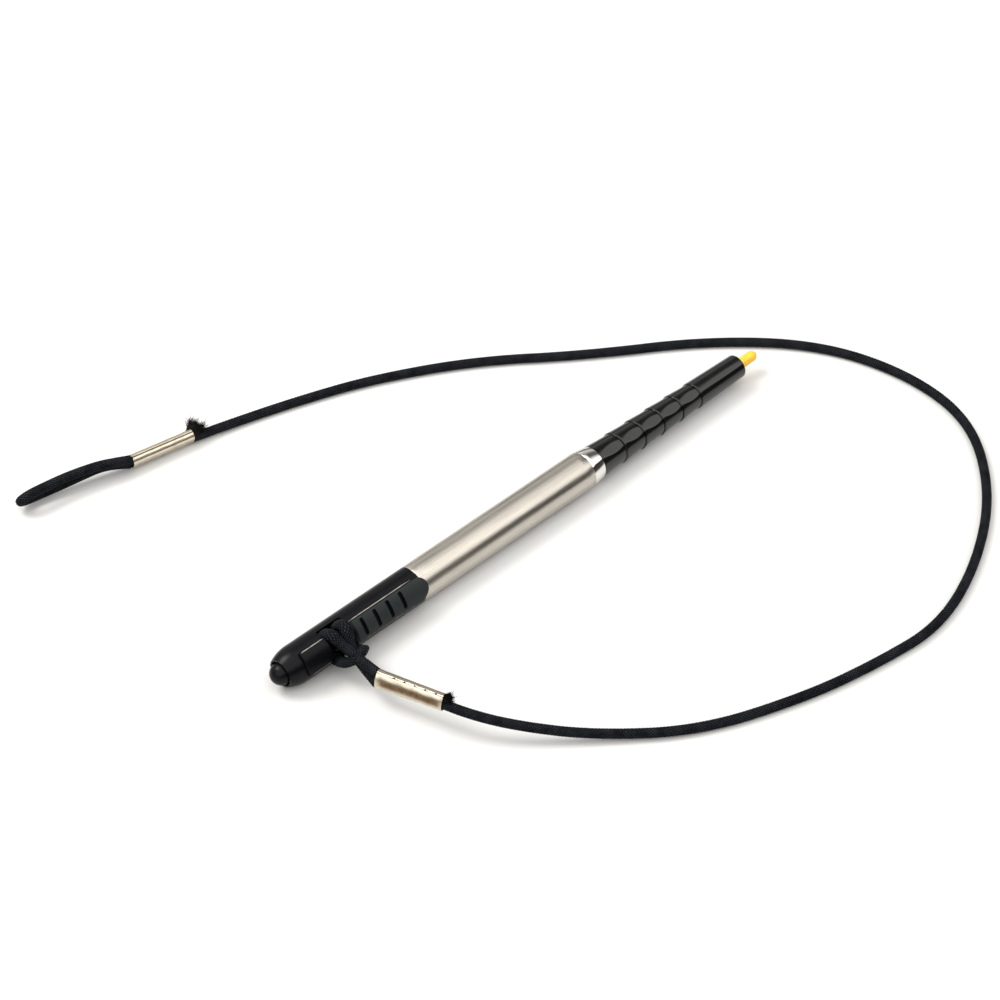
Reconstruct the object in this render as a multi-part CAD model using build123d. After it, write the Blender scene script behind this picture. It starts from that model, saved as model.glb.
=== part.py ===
from build123d import *
import math
import os

# Tethered stylus pen, in millimetres. The pen lies on the surface z = 0 with its axis along X, the nib
# towards +X and the middle of its length at x = 0. The pen's pieces are drawn about their own axis with
# the rail on top, each x counted from the domed rear end, and are then rolled and set down at rest.

# Barrel, and the lengths of the visible pieces from the rear end
barrel_d = 7.5
barrel_wall = 0.4
barrel_len = 43.5
head_len = 31.5
nub_out = 2.0
ring_len = 3.0
grip_len = 39.5
nib_out = 5.1

# Common small sizes: broken edges, the clearance of pressed pieces, how far a cut runs past a face
edge = 0.1
press_clear = 0.03
past = 1.0

# Head: rounded rear end, domed nub, spigot in the barrel
nub_d = 4.3
nub_gap = 0.35
nub_seat = 1.0
nub_stem_d = 2.6
nub_stem_len = 6.0
nub_stem_gap = 0.5
head_step = 0.05
head_rim_d = 5.6
head_round_len = 3.6
spigot_len = 8.0
spigot_chamfer = 0.5
spigot_core_d = 3.4
spigot_core_len = 12.0
land_len = 1.1
land_ramp = 0.6

# Rail along the head, with four cross grooves
rail_w = 4.4
rail_rise = 0.7
rail_root = 1.85
rail_crown_r = 6.0
rail_edge = 0.18
rail_start = 5.2
rail_over = 0.7
rail_under_gap = 0.06
groove_count = 4
groove_pitch = 3.08
groove_w = 0.8
groove_len = 3.4
groove_depth = 0.4
groove_end_r = 0.3
groove_from_tip = 6.06
rail_roll = 54.0

# Cord, and the lanyard bar that it is tied round
cord_d = 1.9
bar_thick = 1.7
bar_half = 0.6
bar_drop = 0.9
bar_start = 10.9
bar_end = 16.3
bar_clear = 0.14

# Trim ring, its belly a little outside the straight line from the barrel to the grip
ring_drop = 0.375
ring_step = 0.06
ring_belly = 0.09
ring_sleeve_len = 5.0
ring_wall = 0.52
ring_lip = 0.25

# Grip: tapered segments that overlap like scales, then a plain nose
scale_count = 5
scale_first = 6.0
scale_pitch = 5.25
scale_step = 0.16
scale_lap = 1.5
scale_bow_r = 12.0
scale_edge = 0.07
nose_rear_d = 5.45
nose_end_d = 4.85
nose_round = 0.35
grip_spigot_len = 9.0

# Nib, its carrier, spring and plug
nib_d = 2.2
nib_clear = 0.12
nib_travel = 1.5
carrier_d = 3.7
carrier_len = 7.5
carrier_clear = 0.12
socket_depth = 5.0
nose_bore_len = 7.5
stop_gap = 0.02
spring_wire = 0.4
spring_d = 3.3
spring_len = 11.0
spring_turns = 7
plug_len = 4.0
stop_pin_d = 2.0

# Ferrules: flattened metal tubes, one round each pair of strands, with a seam and a row of bites in it
ferrule_len = 13.2
ferrule_w = 3.45
ferrule_h = 2.35
ferrule_wall = 0.22
ferrule_edge = 0.06
seam_w = 0.16
seam_depth = 0.1
seam_beside = 0.7
bite_count = 5
bite_pitch = 2.06
bite_r = 0.3
bite_depth = 0.14
bite_start = 3.4
bite_beside = 0.95

# Cut ends of the cord past the ferrules: diameter, length, flare, how far off centre, and the lean
near_tail_d = 1.4
near_tail_len = 0.1
near_tail_flare = 1.05
near_tail_off = (0.85, 0.0)
near_tail_lean = (0, 12, 0)
far_tail_d = 1.7
far_tail_len = 1.6
far_tail_flare = 1.5
far_tail_off = (0.3, -0.3)
far_tail_lean = (58, 0, 0)

# Where the ferrules lie: the middle of the end that faces its loop, the axis, and the wide side
near_mouth = (-49.57, -13.67, 5.3)
near_axis = (0.331, -0.943, 0.023)
near_wide = (0.35, 0.1, 0.93)
far_mouth = (-44.3, 62.0, 2.05)
far_axis = (0.985, -0.17, -0.01)
far_wide = (-0.073, -0.421, 0.905)

# Lengths counted from the rear end
head_x = nub_out
barrel_x = head_x + head_len
ring_x = barrel_x + barrel_len
grip_x = ring_x + ring_len
nose_x = grip_x + grip_len
pen_len = nose_x + nib_out

# Radii and heights from the pen's axis
barrel_r = barrel_d / 2
bore_r = barrel_r - barrel_wall
head_r = barrel_r - head_step
rail_top = head_r + rail_rise
bar_height = rail_top - bar_drop - bar_thick / 2
ring_bore_r = bore_r - press_clear - ring_wall
grip_rear_r = barrel_r - ring_drop
cord_r = cord_d / 2

# Inside the grip, from the nose back: carrier, spring, plug with the pin that stops the nib's travel
carrier_x = nose_x - nose_bore_len - stop_gap - carrier_len
spring_x = carrier_x - spring_len
plug_x = spring_x - plug_len
stop_pin_len = spring_len - nib_travel - stop_gap

# Route of the tether between the ferrules, on the floor for most of its way
tether_points = [
    (-45.32, -26.17, 5.34),
    (-43.9, -30.2, 5.1),
    (-38.5, -37.6, 3.6),
    (-29.0, -47.0, 1.5),
    (-14.5, -58.8, 0.95),
    (5.0, -66.2, 0.95),
    (20.0, -69.5, 0.95),
    (35.0, -71.3, 0.95),
    (52.0, -65.6, 0.95),
    (68.5, -55.0, 0.95),
    (80.5, -40.0, 0.95),
    (82.0, -23.0, 0.95),
    (76.0, -5.0, 0.95),
    (61.0, 11.0, 0.95),
    (40.0, 25.0, 0.95),
    (23.5, 38.5, 0.95),
    (5.5, 48.4, 0.95),
    (-8.5, 53.6, 0.95),
    (-22.5, 57.8, 1.0),
    (-31.3, 59.6, 1.5),
]

# Girth hitch: in at the ferrule, under the collar, over the bar, back through the passage, round as the
# collar, and the same way back. Each point is (x from the rear end, across the rail, out along the rail)
hitch_points = [
    (13.05, 5.98, 12.39),
    (13.2, 3.7, 8.6),
    (13.4, 1.9, 5.4),
    (12.6, -0.5, 4.8),
    (12.0, -2.4, 4.6),
    (12.0, -2.4, 0.8),
    (12.05, 2.45, 0.8),
    (11.9, 3.6, 4.8),
    (12.5, 3.2, 7.5),
    (14.9, 2.5, 7.7),
    (16.1, 3.3, 4.8),
    (15.35, 2.45, 0.8),
    (15.25, -2.4, 0.8),
    (15.2, -2.4, 4.6),
    (14.9, -0.5, 4.7),
    (14.4, 2.3, 4.6),
    (13.6, 5.1, 7.1),
    (12.41, 7.58, 11.55),
]

# Far loop: two strands side by side with a rounded end, out from the ferrule and back
far_loop_points = [
    (-44.37, 61.6, 2.92),
    (-47.1, 62.4, 3.55),
    (-50.1, 63.6, 3.9),
    (-54.05, 64.7, 4.05),
    (-58.1, 65.6, 4.05),
    (-61.8, 65.95, 4.2),
    (-64.8, 66.2, 4.35),
    (-67.0, 67.2, 2.9),
    (-64.9, 67.9, 1.5),
    (-61.6, 67.35, 1.5),
    (-57.9, 66.55, 1.6),
    (-53.8, 65.65, 1.9),
    (-49.8, 64.75, 2.2),
    (-46.7, 63.5, 1.9),
    (-44.23, 62.4, 1.18),
]


def revolved(points):
    """A closed outline of (x, radius) points turned about the pen's axis."""
    outline = make_face(Polyline(*[(x, r) for x, r in points], close=True))
    return revolve(outline, Axis.X)


def rod(x, length, r):
    """A round bar along the pen's axis from x forward."""
    return Pos(x, 0, 0) * Rot(0, 90, 0) * Cylinder(r, length, align=(Align.CENTER, Align.CENTER, Align.MIN))


def at_rest(piece):
    """Rolled so that the rail leans to the side, and set down on the surface."""
    return Pos(-pen_len / 2, 0, barrel_r) * Rot(rail_roll, 0, 0) * piece


def stadium_prism(x, length, half, r):
    """A bar along X with round sides: straight for 2 * half across, r round each side."""
    section = SlotCenterToCenter(2 * half, 2 * r)
    return Pos(x, 0, bar_height) * Rot(0, 90, 0) * Rot(0, 0, 90) * extrude(section, length)


def make_head():
    rim_r = head_rim_d / 2
    drop = head_r - rim_r
    round_r = (head_round_len**2 + drop**2) / (2 * drop)
    round_end = head_x + head_round_len
    mid_x = head_x + head_round_len / 2
    mid_r = head_r - round_r + math.sqrt(round_r**2 - (head_round_len / 2) ** 2)
    spigot_r = bore_r - press_clear
    spigot_end = barrel_x + spigot_len
    arc = ThreePointArc((head_x, rim_r), (mid_x, mid_r), (round_end, head_r))
    rest = Polyline(
        (round_end, head_r),
        (barrel_x, head_r),
        (barrel_x, spigot_r),
        (spigot_end - spigot_chamfer, spigot_r),
        (spigot_end, spigot_r - spigot_chamfer),
        (spigot_end, 0),
        (head_x, 0),
        (head_x, rim_r),
    )
    body = revolve(make_face(arc + rest), Axis.X)
    body += make_rail()
    body -= stadium_prism(bar_start, bar_end - bar_start, bar_half, bar_thick / 2 + cord_d + bar_clear)
    body += stadium_prism(bar_start, bar_end - bar_start, bar_half, bar_thick / 2)
    body -= rod(head_x - past, past + nub_seat, nub_d / 2 + nub_gap)
    body -= rod(head_x, nub_seat + nub_stem_len + nub_stem_gap, nub_stem_d / 2)
    body -= rod(spigot_end - spigot_core_len, spigot_core_len + past, spigot_core_d / 2)
    return body


def make_rail():
    tip_x = barrel_x + rail_over
    straight = tip_x - rail_w / 2 - rail_start
    plan = Pos(rail_start + straight / 2, 0) * Rectangle(straight, rail_w)
    plan += Pos(tip_x - rail_w / 2, 0) * Circle(rail_w / 2)
    rail = extrude(Pos(0, 0, rail_root) * plan, rail_top)
    crown = rod(rail_start - past, tip_x - rail_start + 2 * past, rail_crown_r)
    rail &= Pos(0, 0, rail_top - rail_crown_r) * crown
    rail -= rod(barrel_x, rail_over + past, barrel_r + rail_under_gap)
    top = rail.faces().sort_by(Axis.Z)[-1]
    rail = fillet(top.edges(), rail_edge)
    for i in range(groove_count):
        x = tip_x - groove_from_tip - i * groove_pitch
        slot = Pos(x, 0, rail_top) * Box(groove_w, groove_len, 2 * groove_depth)
        rail -= fillet(slot.edges().filter_by(Axis.Z), groove_end_r)
    return rail


def make_end_plug():
    r = nub_d / 2
    seat_x = head_x + nub_seat
    dome = ThreePointArc((0, 0), (r - r * math.cos(math.pi / 4), r * math.sin(math.pi / 4)), (r, r))
    rest = Polyline(
        (r, r),
        (seat_x, r),
        (seat_x, nub_stem_d / 2 - press_clear),
        (seat_x + nub_stem_len, nub_stem_d / 2 - press_clear),
        (seat_x + nub_stem_len, 0),
        (0, 0),
    )
    return revolve(make_face(dome + rest), Axis.X)


def make_barrel():
    return revolved(
        [
            (barrel_x, bore_r),
            (barrel_x, head_r - edge),
            (barrel_x + edge, head_r),
            (barrel_x + land_len, head_r),
            (barrel_x + land_len + land_ramp, barrel_r),
            (ring_x - edge, barrel_r),
            (ring_x, barrel_r - edge),
            (ring_x, bore_r),
        ]
    )


def make_trim_ring():
    rear_r = barrel_r - ring_step
    sleeve_r = bore_r - press_clear
    belly_start = ring_x + ring_lip
    belly_end = grip_x - ring_lip / 2
    belly = ThreePointArc(
        (belly_start, rear_r),
        ((belly_start + belly_end) / 2, (rear_r + grip_rear_r) / 2 + ring_belly),
        (belly_end, grip_rear_r),
    )
    outer = Polyline((ring_x, rear_r - edge), (belly_start, rear_r))
    rest = Polyline(
        (belly_end, grip_rear_r),
        (grip_x, grip_rear_r - edge),
        (grip_x, ring_bore_r),
        (ring_x - ring_sleeve_len, ring_bore_r),
        (ring_x - ring_sleeve_len, sleeve_r),
        (ring_x, sleeve_r),
        (ring_x, rear_r - edge),
    )
    return revolve(make_face(outer + belly + rest), Axis.X)


def grip_radius(x):
    """Radius of the scales' rear rims: straight from the ring to the nose's rear."""
    share = (x - grip_x) / (scale_first + (scale_count - 1) * scale_pitch)
    return grip_rear_r + (nose_rear_d / 2 - grip_rear_r) * share


def make_scale(rear_x, front_x, rear_r, front_r):
    """One tapered segment, its rear edge bowed back at the pen's two sides."""
    bow = scale_bow_r - math.sqrt(scale_bow_r**2 - rear_r**2)
    start = rear_x - bow
    rear = [(start, 0), (start, rear_r - scale_edge), (start + scale_edge, rear_r)]
    outline = rear + [(front_x, front_r), (front_x, 0)]
    bow_x = start + scale_bow_r
    keep = Pos(bow_x, 0, 0) * Rot(90, 0, 0) * Cylinder(scale_bow_r, 4 * rear_r)
    return revolved(outline) & keep


def make_grip():
    rims = [grip_x + scale_first + i * scale_pitch for i in range(scale_count)]
    front_r = grip_radius(rims[0]) - scale_step
    lap_x = rims[0] + scale_lap
    body = revolved([(grip_x, 0), (grip_x, grip_rear_r), (lap_x, front_r), (lap_x, 0)])
    for i in range(scale_count - 1):
        front_r = grip_radius(rims[i + 1]) - scale_step
        body += make_scale(rims[i], rims[i + 1] + scale_lap, grip_radius(rims[i]), front_r)
    nose_r = nose_end_d / 2
    body += make_scale(rims[-1], nose_x - nose_round, nose_rear_d / 2, nose_r)
    side = (nose_x - nose_round, nose_r)
    tip = (nose_x, nose_r - nose_round)
    cut = nose_round * (1 - math.sin(math.pi / 4))
    nose = ThreePointArc(side, (nose_x - cut, nose_r - cut), tip)
    rest = Polyline(tip, (nose_x, 0), (nose_x - nose_round, 0), side)
    body += revolve(make_face(nose + rest), Axis.X)
    body += rod(grip_x - grip_spigot_len, grip_spigot_len, ring_bore_r - press_clear)
    body -= rod(nose_x - nose_bore_len - past, nose_bore_len + 2 * past, nib_d / 2 + nib_clear)
    chamber_x = grip_x - grip_spigot_len
    chamber_len = nose_x - nose_bore_len - chamber_x
    body -= rod(chamber_x - past, chamber_len + past, carrier_d / 2 + carrier_clear)
    return body


def make_nib():
    r = nib_d / 2
    rear = carrier_x + carrier_len - socket_depth
    dome = ThreePointArc(
        (pen_len - r, r), (pen_len - r + r * math.sin(math.pi / 4), r * math.cos(math.pi / 4)), (pen_len, 0)
    )
    rest = Polyline((pen_len, 0), (rear, 0), (rear, r - edge), (rear + edge, r), (pen_len - r, r))
    return revolve(make_face(dome + rest), Axis.X)


def make_carrier():
    body = rod(carrier_x, carrier_len, carrier_d / 2)
    body = chamfer(body.edges(), 2 * edge)
    return body - rod(carrier_x + carrier_len - socket_depth, socket_depth + past, nib_d / 2)


def make_spring():
    """Compression spring with its end turns flat on the carrier and on the plug."""
    pitch = (spring_len - spring_wire) / spring_turns
    mean_r = (spring_d - spring_wire) / 2
    path = Helix(pitch, spring_len - spring_wire, mean_r)
    wire = sweep(Plane(origin=path @ 0, z_dir=path % 0) * Circle(spring_wire / 2), path, is_frenet=True)
    return Pos(spring_x + spring_wire / 2, 0, 0) * Rot(0, 90, 0) * wire


def make_spring_plug():
    body = chamfer(rod(plug_x, plug_len, carrier_d / 2 + carrier_clear - press_clear).edges(), 2 * edge)
    return body + rod(plug_x + plug_len - edge, stop_pin_len + edge, stop_pin_d / 2)


def stand(mouth, axis, wide):
    """The ferrule's own frame: x along the wide side, z from the mouth down the ferrule."""
    z_dir = Vector(*axis).normalized()
    x_dir = Vector(*wide)
    x_dir = (x_dir - z_dir * x_dir.dot(z_dir)).normalized()
    return Plane(origin=mouth, x_dir=x_dir, z_dir=z_dir)


def make_ferrule(place):
    """A flattened tube, with the seam and the bites in one broad face."""
    half = (ferrule_w - ferrule_h) / 2
    body = extrude(SlotCenterToCenter(2 * half, ferrule_h), ferrule_len)
    body = fillet(body.edges().filter_by(GeomType.CIRCLE), ferrule_edge)
    body -= extrude(SlotCenterToCenter(2 * half, ferrule_h - 2 * ferrule_wall), ferrule_len)
    top = ferrule_h / 2
    body -= Pos(seam_beside, top, ferrule_len / 2) * Box(seam_w, 2 * seam_depth, ferrule_len + 2 * past)
    for i in range(bite_count):
        z = bite_start + i * bite_pitch
        body -= Pos(bite_beside, top + bite_r - bite_depth, z) * Sphere(bite_r)
    return place * body


def make_crimp(place):
    half = (ferrule_w - ferrule_h) / 2
    return place * extrude(SlotCenterToCenter(2 * half, ferrule_h - 2 * ferrule_wall), ferrule_len)


def make_tail(place, d, length, flare, off, lean):
    """The cut end of the cord that shows past the ferrule: a stub that turns and flares."""
    r = d / 2
    stub = Pos(*off, ferrule_len) * Cylinder(r, r, align=(Align.CENTER, Align.CENTER, Align.MIN))
    turn = Pos(*off, ferrule_len + r)
    bell = Rot(*lean) * Cone(r, r * flare, length + r, align=(Align.CENTER, Align.CENTER, Align.MIN))
    return place * (stub + turn * Sphere(r) + turn * bell)


def corner_radius(a, b, c):
    """As large as the two runs allow: 0.45 of the shorter run over the tangent of half the turn."""
    back = Vector(*b) - Vector(*a)
    ahead = Vector(*c) - Vector(*b)
    half_turn = math.radians(back.get_angle(ahead)) / 2
    return 0.45 * min(back.length, ahead.length) / math.tan(half_turn)


def make_cord(name, points):
    radii = [corner_radius(*points[i : i + 3]) for i in range(len(points) - 2)]
    path = FilletPolyline(*points, radius=radii)
    section = Plane(origin=path @ 0, z_dir=path % 0) * Circle(cord_r)
    body = sweep(section, path)
    ratio = body.volume / (math.pi * cord_r**2 * path.length)
    print(name, "length", round(path.length, 1), "volume ratio", round(ratio, 4))
    print(name, "radii", [round(r, 1) for r in radii])
    return body


def on_pen(x, across, out):
    """A point beside the resting pen: across the rail and out along the rail from the pen's axis."""
    roll = math.radians(90 - rail_roll)
    y = -out * math.cos(roll) - across * math.sin(roll)
    z = barrel_r + out * math.sin(roll) - across * math.cos(roll)
    return (x - pen_len / 2, y, z)


near_place = stand(near_mouth, near_axis, near_wide)
far_place = stand(far_mouth, far_axis, far_wide)
hitch_route = [on_pen(*p) for p in hitch_points]

parts = {
    "head_body": at_rest(make_head()),
    "end_plug": at_rest(make_end_plug()),
    "barrel_tube": at_rest(make_barrel()),
    "trim_ring": at_rest(make_trim_ring()),
    "grip_body": at_rest(make_grip()),
    "nib": at_rest(make_nib()),
    "nib_carrier": at_rest(make_carrier()),
    "nib_spring": at_rest(make_spring()),
    "spring_plug": at_rest(make_spring_plug()),
    "near_ferrule": make_ferrule(near_place),
    "near_crimp": make_crimp(near_place),
    "near_tail": make_tail(
        near_place, near_tail_d, near_tail_len, near_tail_flare, near_tail_off, near_tail_lean
    ),
    "far_ferrule": make_ferrule(far_place),
    "far_crimp": make_crimp(far_place),
    "far_tail": make_tail(far_place, far_tail_d, far_tail_len, far_tail_flare, far_tail_off, far_tail_lean),
    "near_loop": make_cord("near_loop", hitch_route),
    "far_loop": make_cord("far_loop", far_loop_points),
    "tether_cord": make_cord("tether_cord", tether_points),
}

os.makedirs("parts", exist_ok=True)
for name, piece in parts.items():
    solids = piece.solids()
    print(name, "solids", len(solids))
    export_step(solids[0] if len(solids) == 1 else Compound(solids), f"parts/{name}.step")
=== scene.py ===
import math
import random
import bpy
import numpy as np
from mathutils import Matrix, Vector


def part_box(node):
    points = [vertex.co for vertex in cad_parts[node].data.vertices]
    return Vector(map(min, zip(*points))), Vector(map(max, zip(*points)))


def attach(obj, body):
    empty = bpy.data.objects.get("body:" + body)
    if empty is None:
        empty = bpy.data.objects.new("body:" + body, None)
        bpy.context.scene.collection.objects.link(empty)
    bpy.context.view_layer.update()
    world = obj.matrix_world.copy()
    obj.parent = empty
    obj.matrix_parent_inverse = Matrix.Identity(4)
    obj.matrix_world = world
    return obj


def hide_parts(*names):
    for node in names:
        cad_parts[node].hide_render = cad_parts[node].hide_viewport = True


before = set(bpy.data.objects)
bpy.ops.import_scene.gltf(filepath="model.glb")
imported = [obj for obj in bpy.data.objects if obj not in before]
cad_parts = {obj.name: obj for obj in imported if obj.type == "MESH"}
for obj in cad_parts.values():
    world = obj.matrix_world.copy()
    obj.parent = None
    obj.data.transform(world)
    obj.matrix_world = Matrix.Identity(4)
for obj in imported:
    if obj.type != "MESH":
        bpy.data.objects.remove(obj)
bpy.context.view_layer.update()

mm = 0.001
scene = bpy.context.scene

# The pen lies along X. The rail leans out of the pen at this slope above the floor, and the cord
# routes near the pen are counted from its rear end, across the rail and out along the rail.
pen = dict(rear=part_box("end_plug")[0][0] / mm, height=3.75, slope=36.0)
slopeCos, slopeSin = math.cos(math.radians(pen["slope"])), math.sin(math.radians(pen["slope"]))
along = np.array([1.0, 0.0, 0.0])
outward = np.array([0.0, -slopeCos, slopeSin])
across = np.array([0.0, -slopeSin, -slopeCos])


def onPen(s, side, out):
    return np.array([s + pen["rear"], 0.0, pen["height"]]) + side * across + out * outward


# camera
camera = dict(place=(-0.28627, -0.29238, 0.40707), aim=(0.49335, 0.51611, -0.70017), lens=111.24)
view = bpy.data.cameras.new("studioCamera")
view.lens, view.sensor_width, view.clip_start, view.clip_end = camera["lens"], 36.0, 0.01, 20.0
viewer = bpy.data.objects.new("studioCamera", view)
viewer.location = camera["place"]
viewer.rotation_euler = Vector(camera["aim"]).to_track_quat("-Z", "Y").to_euler()
scene.collection.objects.link(viewer)
scene.camera = viewer
print("camera placed")


# shader helpers
class Sock:
    # a node's output that takes plain arithmetic
    def __init__(self, finish, socket):
        self.finish, self.socket = finish, socket

    def join(self, operation, first, second):
        return self.finish.add("ShaderNodeMath", {"operation": operation}, {0: first, 1: second})

    def __add__(self, other):
        return self.join("ADD", self, other)

    def __radd__(self, other):
        return self.join("ADD", other, self)

    def __sub__(self, other):
        return self.join("SUBTRACT", self, other)

    def __rsub__(self, other):
        return self.join("SUBTRACT", other, self)

    def __mul__(self, other):
        return self.join("MULTIPLY", self, other)

    def __rmul__(self, other):
        return self.join("MULTIPLY", other, self)

    def __truediv__(self, other):
        return self.join("DIVIDE", self, other)

    def __abs__(self):
        return self.finish.add("ShaderNodeMath", {"operation": "ABSOLUTE"}, {0: self})


class Nodes:
    # a node tree that nodes are added to by type
    def __init__(self, tree):
        self.tree = tree

    def add(self, kind, settings=None, values=None, out=0):
        node = self.tree.nodes.new(kind)
        for key, value in (settings or {}).items():
            if key == "stops":
                while len(node.color_ramp.elements) < len(value):
                    node.color_ramp.elements.new(1.0)
                for element, (at, colour) in zip(node.color_ramp.elements, value):
                    element.position, element.color = at, (*colour, 1.0)
            else:
                setattr(node, key, value)
        for key, value in (values or {}).items():
            if isinstance(value, Sock):
                self.tree.links.new(value.socket, node.inputs[key])
            else:
                node.inputs[key].default_value = value
        return Sock(self, node.outputs[out])

    def ramp(self, value, low, high, start=0.0, end=1.0):
        return self.add("ShaderNodeMapRange", {"interpolation_type": "SMOOTHSTEP"},
                        {0: value, 1: low, 2: high, 3: start, 4: end})

    def shade(self, mask, first, second):
        sides = {6: first if isinstance(first, Sock) else (*first, 1.0),
                 7: second if isinstance(second, Sock) else (*second, 1.0)}
        return self.add("ShaderNodeMix", {"data_type": "RGBA"}, {0: mask, **sides}, out=2)


class Finish(Nodes):
    # one material: a Principled shader with fixed values, laid out in the frame's own millimetres
    def __init__(self, name, fixed):
        self.material = bpy.data.materials.new(name)
        self.material.use_nodes = True
        super().__init__(self.material.node_tree)
        self.shader = self.tree.nodes["Principled BSDF"]
        for socketName, value in fixed.items():
            self.shader.inputs[socketName].default_value = value
        self.place = self.add("ShaderNodeTexCoord", out="Object")

    def feed(self, socketName, value):
        self.tree.links.new(value.socket, self.shader.inputs[socketName])
        return self

    def measure(self, direction, shift=0.0):
        # millimetres along a direction
        scaled = tuple(float(c) / mm for c in direction)
        dot = {"operation": "DOT_PRODUCT"}
        return self.add("ShaderNodeVectorMath", dot, {0: self.place, 1: scaled}, out="Value") + shift

    def stretch(self, scales):
        # coordinates in features per millimetre, one number for each axis
        perMetre = tuple(s / mm for s in scales)
        return self.add("ShaderNodeVectorMath", {"operation": "MULTIPLY"}, {0: self.place, 1: perMetre})

    def grain(self, perMm, detail=3.0, rough=0.55, scales=None):
        where = self.stretch(scales or (perMm, perMm, perMm))
        return self.add("ShaderNodeTexNoise", None,
                        {"Vector": where, "Scale": 1.0, "Detail": detail, "Roughness": rough})

    def bump(self, height, depthMm, strength=1.0):
        lifted = self.add("ShaderNodeBump", None,
                          {"Height": height, "Distance": depthMm * mm, "Strength": strength})
        return self.feed("Normal", lifted)


def penPlace(finish):
    # from the rear end, across the rail, out along the rail, in millimetres
    s = finish.measure(along, -pen["rear"])
    side = finish.measure(across, pen["height"] * slopeCos)
    out = finish.measure(outward, -pen["height"] * slopeSin)
    return s, side, out


# cord finish
def makeCordFinish():
    look = dict(black=(0.0016, 0.0018, 0.0026), thread=(0.005, 0.006, 0.009),
                paintedGlint=(0.066, 0.072, 0.082), threadsPerMm=7.0)
    finish = Finish("cordWeave", {"Sheen Weight": 0.004, "Sheen Roughness": 0.4,
                                  "Sheen Tint": (0.55, 0.65, 1.0, 1.0), "Specular IOR Level": 0.03})
    threads = finish.grain(look["threadsPerMm"], 4.0, 0.7)
    broad = finish.grain(0.45, 2.0)
    crown = finish.add("ShaderNodeAttribute", {"attribute_name": "crown"}, out="Fac")
    # painted highlight: lighter colour on the braid's crowns, standing in for the glints the light makes
    # there
    paintedGlint = crown * finish.ramp(threads * 0.7 + broad * 0.3, 0.38, 0.60)
    yarn = finish.shade(finish.ramp(threads, 0.42, 0.75), look["black"], look["thread"])
    finish.feed("Base Color", finish.shade(paintedGlint, yarn, look["paintedGlint"]))
    finish.feed("Roughness", 0.36 + 0.26 * threads + 0.10 * broad)
    finish.bump(threads, 0.05, 0.8)
    return finish


cordFinish = makeCordFinish()


# mesh helpers
def softStep(value, low, high):
    t = np.clip((value - low) / (high - low), 0.0, 1.0)
    return t * t * (3 - 2 * t)


def ringFaces(rings, around, closed=False, first=0):
    # quads between neighbouring rings, facing away from the line that the rings follow
    i = np.arange(rings if closed else rings - 1)[:, None]
    j = np.arange(around)[None, :]
    nextI, nextJ = (i + 1) % rings, (j + 1) % around
    quads = np.stack([i * around + j, i * around + nextJ, nextI * around + nextJ, nextI * around + j], -1)
    return (quads.reshape(-1, 4) + first).tolist()


def addPiece(name, verts, faces, finish, stands=(), crease=None):
    mesh = bpy.data.meshes.new(name)
    mesh.from_pydata((np.asarray(verts) * mm).tolist(), [], faces)
    mesh.update()
    mesh.shade_smooth()
    if crease:
        mesh.set_sharp_from_angle(angle=math.radians(crease))
    mesh.materials.append(finish.material)
    piece = bpy.data.objects.new(name, mesh)
    scene.collection.objects.link(piece)
    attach(piece, "pen")
    if stands:
        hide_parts(*stands)
    return piece


def paint(piece, attribute, values):
    # one number for each point of the mesh, for the finish to read
    layer = piece.data.attributes.new(attribute, "FLOAT", "POINT")
    layer.data.foreach_set("value", np.concatenate(values).astype(np.float32))


def readLine(name, points):
    # the line of a NURBS curve through its control points, read from the curve itself
    curve = bpy.data.curves.new(name, "CURVE")
    curve.dimensions, curve.resolution_u = "3D", 48
    spline = curve.splines.new("NURBS")
    spline.points.add(len(points) - 1)
    for point, place in zip(spline.points, points):
        point.co = (*place, 1.0)
    spline.order_u = 3
    spline.use_endpoint_u = True
    holder = bpy.data.objects.new(name, curve)
    scene.collection.objects.link(holder)
    bpy.context.view_layer.update()
    read = bpy.data.meshes.new_from_object(holder)
    line = np.array([v.co[:] for v in read.vertices])
    bpy.data.objects.remove(holder)
    bpy.data.meshes.remove(read)
    return line


def evenly(line, step):
    # the same line with points a fixed step apart, and the length so far at each
    lengths = np.concatenate([[0.0], np.cumsum(np.linalg.norm(np.diff(line, axis=0), axis=1))])
    count = max(int(round(lengths[-1] / step)), 8)
    want = np.linspace(0.0, lengths[-1], count + 1)
    return np.stack([np.interp(want, lengths, line[:, k]) for k in range(3)], -1), want


def carryFrames(line):
    # a side and an upper direction at each point, turning as little as they can
    tangents = np.gradient(line, axis=0)
    tangents /= np.linalg.norm(tangents, axis=1)[:, None]
    side = np.cross(tangents[0], [0.0, 0.0, 1.0])
    if np.linalg.norm(side) < 0.1:
        side = np.cross(tangents[0], [1.0, 0.0, 0.0])
    sides = []
    for tangent in tangents:
        side = side - tangent * side.dot(tangent)
        side /= np.linalg.norm(side)
        sides.append(side)
    sides = np.array(sides)
    return tangents, sides, np.cross(tangents, sides)


# cords
braid = dict(diameter=1.9, carriers=10, lead=6.4, relief=0.20, around=40, step=0.165, glintSharp=9)


def braidHeight(angle, s):
    # how far the uppermost strand stands up, from 0 in a gap to 1 on its crown
    one = angle / (2 * math.pi) * braid["carriers"] + s / braid["lead"] * braid["carriers"]
    two = angle / (2 * math.pi) * braid["carriers"] - s / braid["lead"] * braid["carriers"]
    cellOne, cellTwo = np.floor(one), np.floor(two)
    u, v = one - cellOne, two - cellTwo
    over = np.mod(cellOne - cellTwo, 4) < 2
    crownOne = 1 - (2 * u - 1) ** 4
    crownTwo = 1 - (2 * v - 1) ** 4
    slopeOne, slopeTwo = np.sin(math.pi * v), np.sin(math.pi * u)
    return np.where(over, crownOne * (0.55 + 0.45 * slopeOne), crownTwo * (0.55 + 0.45 * slopeTwo))


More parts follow.
